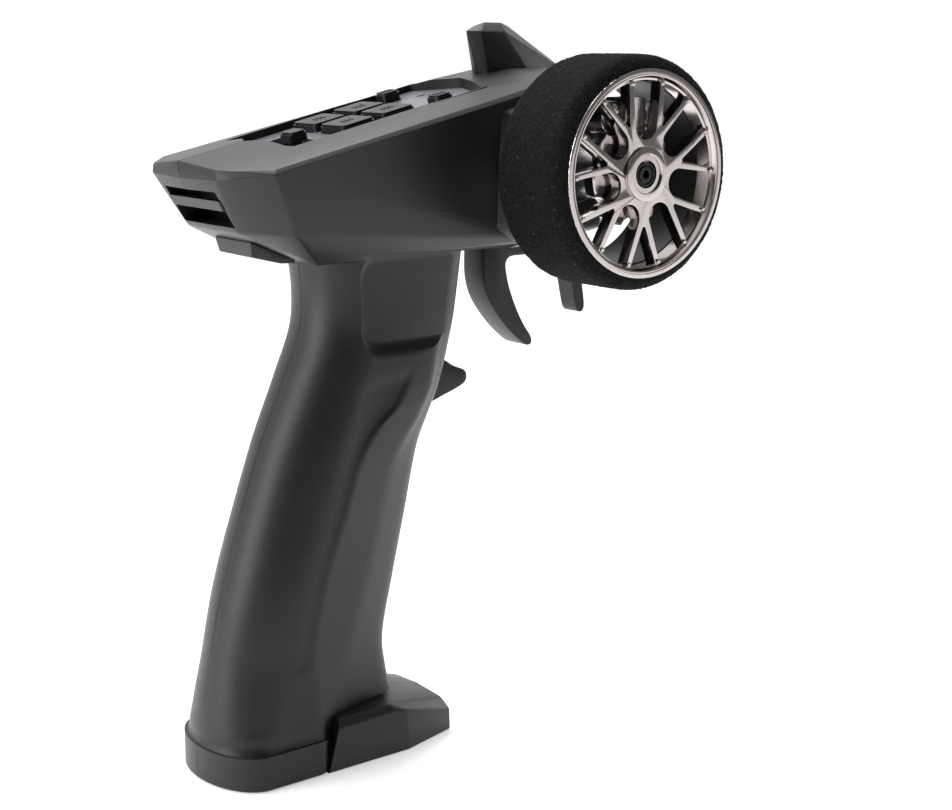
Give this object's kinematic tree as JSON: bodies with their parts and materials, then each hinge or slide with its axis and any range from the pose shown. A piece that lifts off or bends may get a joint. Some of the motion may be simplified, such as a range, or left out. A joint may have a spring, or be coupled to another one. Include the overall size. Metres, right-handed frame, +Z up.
{
  "type": "pistol-grip radio transmitter",
  "caption": "Pistol-grip radio transmitter for model cars: foam-tyred steering wheel, finger trigger, sloped key panel, short aerial fin and a battery base it stands on.",
  "frame": {"origin": "middle of the base's underside, on the mid-plane between the two shells, halfway between the base's rear seam and the foot's front edge", "axes": "+Z up along the grip from the base, +X forwards to the trigger and aerial fin, +Y to the left, so the steering wheel is on the -Y side"},
  "size_m": [0.1106, 0.0756, 0.1651],
  "materials": {
    "shell": "matte",
    "panel": "satin",
    "key": "satin",
    "lens": "gloss",
    "chrome_trim": "gloss",
    "machined": "satin",
    "foam": "matte",
    "black_screw": "satin",
    "steel": "satin",
    "bronze": "satin",
    "pot_body": "satin",
    "switch_body": "matte",
    "switch_case": "satin",
    "mat": "matte",
    "board": "satin",
    "aerial_metal": "satin",
    "cell": "satin"
  },
  "bodies": {
    "housing": {"right_shell": "shell", "left_shell": "shell", "top_cover": "shell", "control_panel": "panel", "power_switch": "switch_case", "led_lens": "lens", "key_mat": "mat", "main_board": "board", "board_screws": "steel", "aerial_strip": "aerial_metal", "strap_bar": "shell", "rear_block": "shell", "spindle_bush": "bronze", "centring_spring": "steel", "steering_pot": "pot_body", "trigger_pin": "steel", "trigger_spring": "steel", "throttle_pot": "pot_body", "grip_switch": "switch_body", "battery_cradle": "switch_body", "battery_cells": "cell", "battery_contacts": "steel", "shell_screws": "steel"},
    "steering_wheel": {"wheel_rim": "chrome_trim", "wheel_drum": "key", "foam_tyre": "foam", "wheel_adaptor": "machined", "caliper_block": "machined", "wheel_screw": "black_screw", "steering_spindle": "machined"},
    "trigger_lever": {"trigger": "key"},
    "side_button": {"grip_button": "key"},
    "key_steering_minus": {"steering_trim_minus": "key"},
    "key_steering_plus": {"steering_trim_plus": "key"},
    "key_throttle_minus": {"throttle_trim_minus": "key"},
    "key_throttle_plus": {"throttle_trim_plus": "key"},
    "button_left": {"channel_button_left": "key"},
    "button_right": {"channel_button_right": "key"},
    "power_slide": {"power_knob": "key"},
    "battery_cover": {"battery_door": "shell"}
  },
  "joints": [
    {"name": "steering", "type": "hinge", "parent": "housing", "child": "steering_wheel", "pos_m": [0.0534, -0.0404, 0.1331], "axis": [0, 1, 0], "range_deg": [-35, 35], "stiffness_Nm_per_rad": 0.03},
    {"name": "trigger_pull", "type": "hinge", "parent": "housing", "child": "trigger_lever", "pos_m": [0.062, 0, 0.123], "axis": [0, 1, 0], "range_deg": [-12, 20], "stiffness_Nm_per_rad": 0.05},
    {"name": "grip_button_press", "type": "slide", "parent": "housing", "child": "side_button", "axis": [-1, 0, 0], "range_m": [0, 0.0015], "stiffness_N_per_m": 400},
    {"name": "steering_trim_minus_press", "type": "slide", "parent": "housing", "child": "key_steering_minus", "axis": [0.2233, 0, -0.9748], "range_m": [0, 0.0005], "stiffness_N_per_m": 600},
    {"name": "steering_trim_plus_press", "type": "slide", "parent": "housing", "child": "key_steering_plus", "axis": [0.2233, 0, -0.9748], "range_m": [0, 0.0005], "stiffness_N_per_m": 600},
    {"name": "throttle_trim_minus_press", "type": "slide", "parent": "housing", "child": "key_throttle_minus", "axis": [0.2233, 0, -0.9748], "range_m": [0, 0.0005], "stiffness_N_per_m": 600},
    {"name": "throttle_trim_plus_press", "type": "slide", "parent": "housing", "child": "key_throttle_plus", "axis": [0.2233, 0, -0.9748], "range_m": [0, 0.0005], "stiffness_N_per_m": 600},
    {"name": "left_button_press", "type": "slide", "parent": "housing", "child": "button_left", "axis": [0.2233, 0, -0.9748], "range_m": [0, 0.0005], "stiffness_N_per_m": 600},
    {"name": "right_button_press", "type": "slide", "parent": "housing", "child": "button_right", "axis": [0.2233, 0, -0.9748], "range_m": [0, 0.0005], "stiffness_N_per_m": 600},
    {"name": "power_slide_move", "type": "slide", "parent": "housing", "child": "power_slide", "axis": [0, 1, 0], "range_m": [0, 0.004]},
    {"name": "battery_cover_slide", "type": "slide", "parent": "housing", "child": "battery_cover", "axis": [1, 0, 0], "range_m": [0, 0.012]}
  ]
}
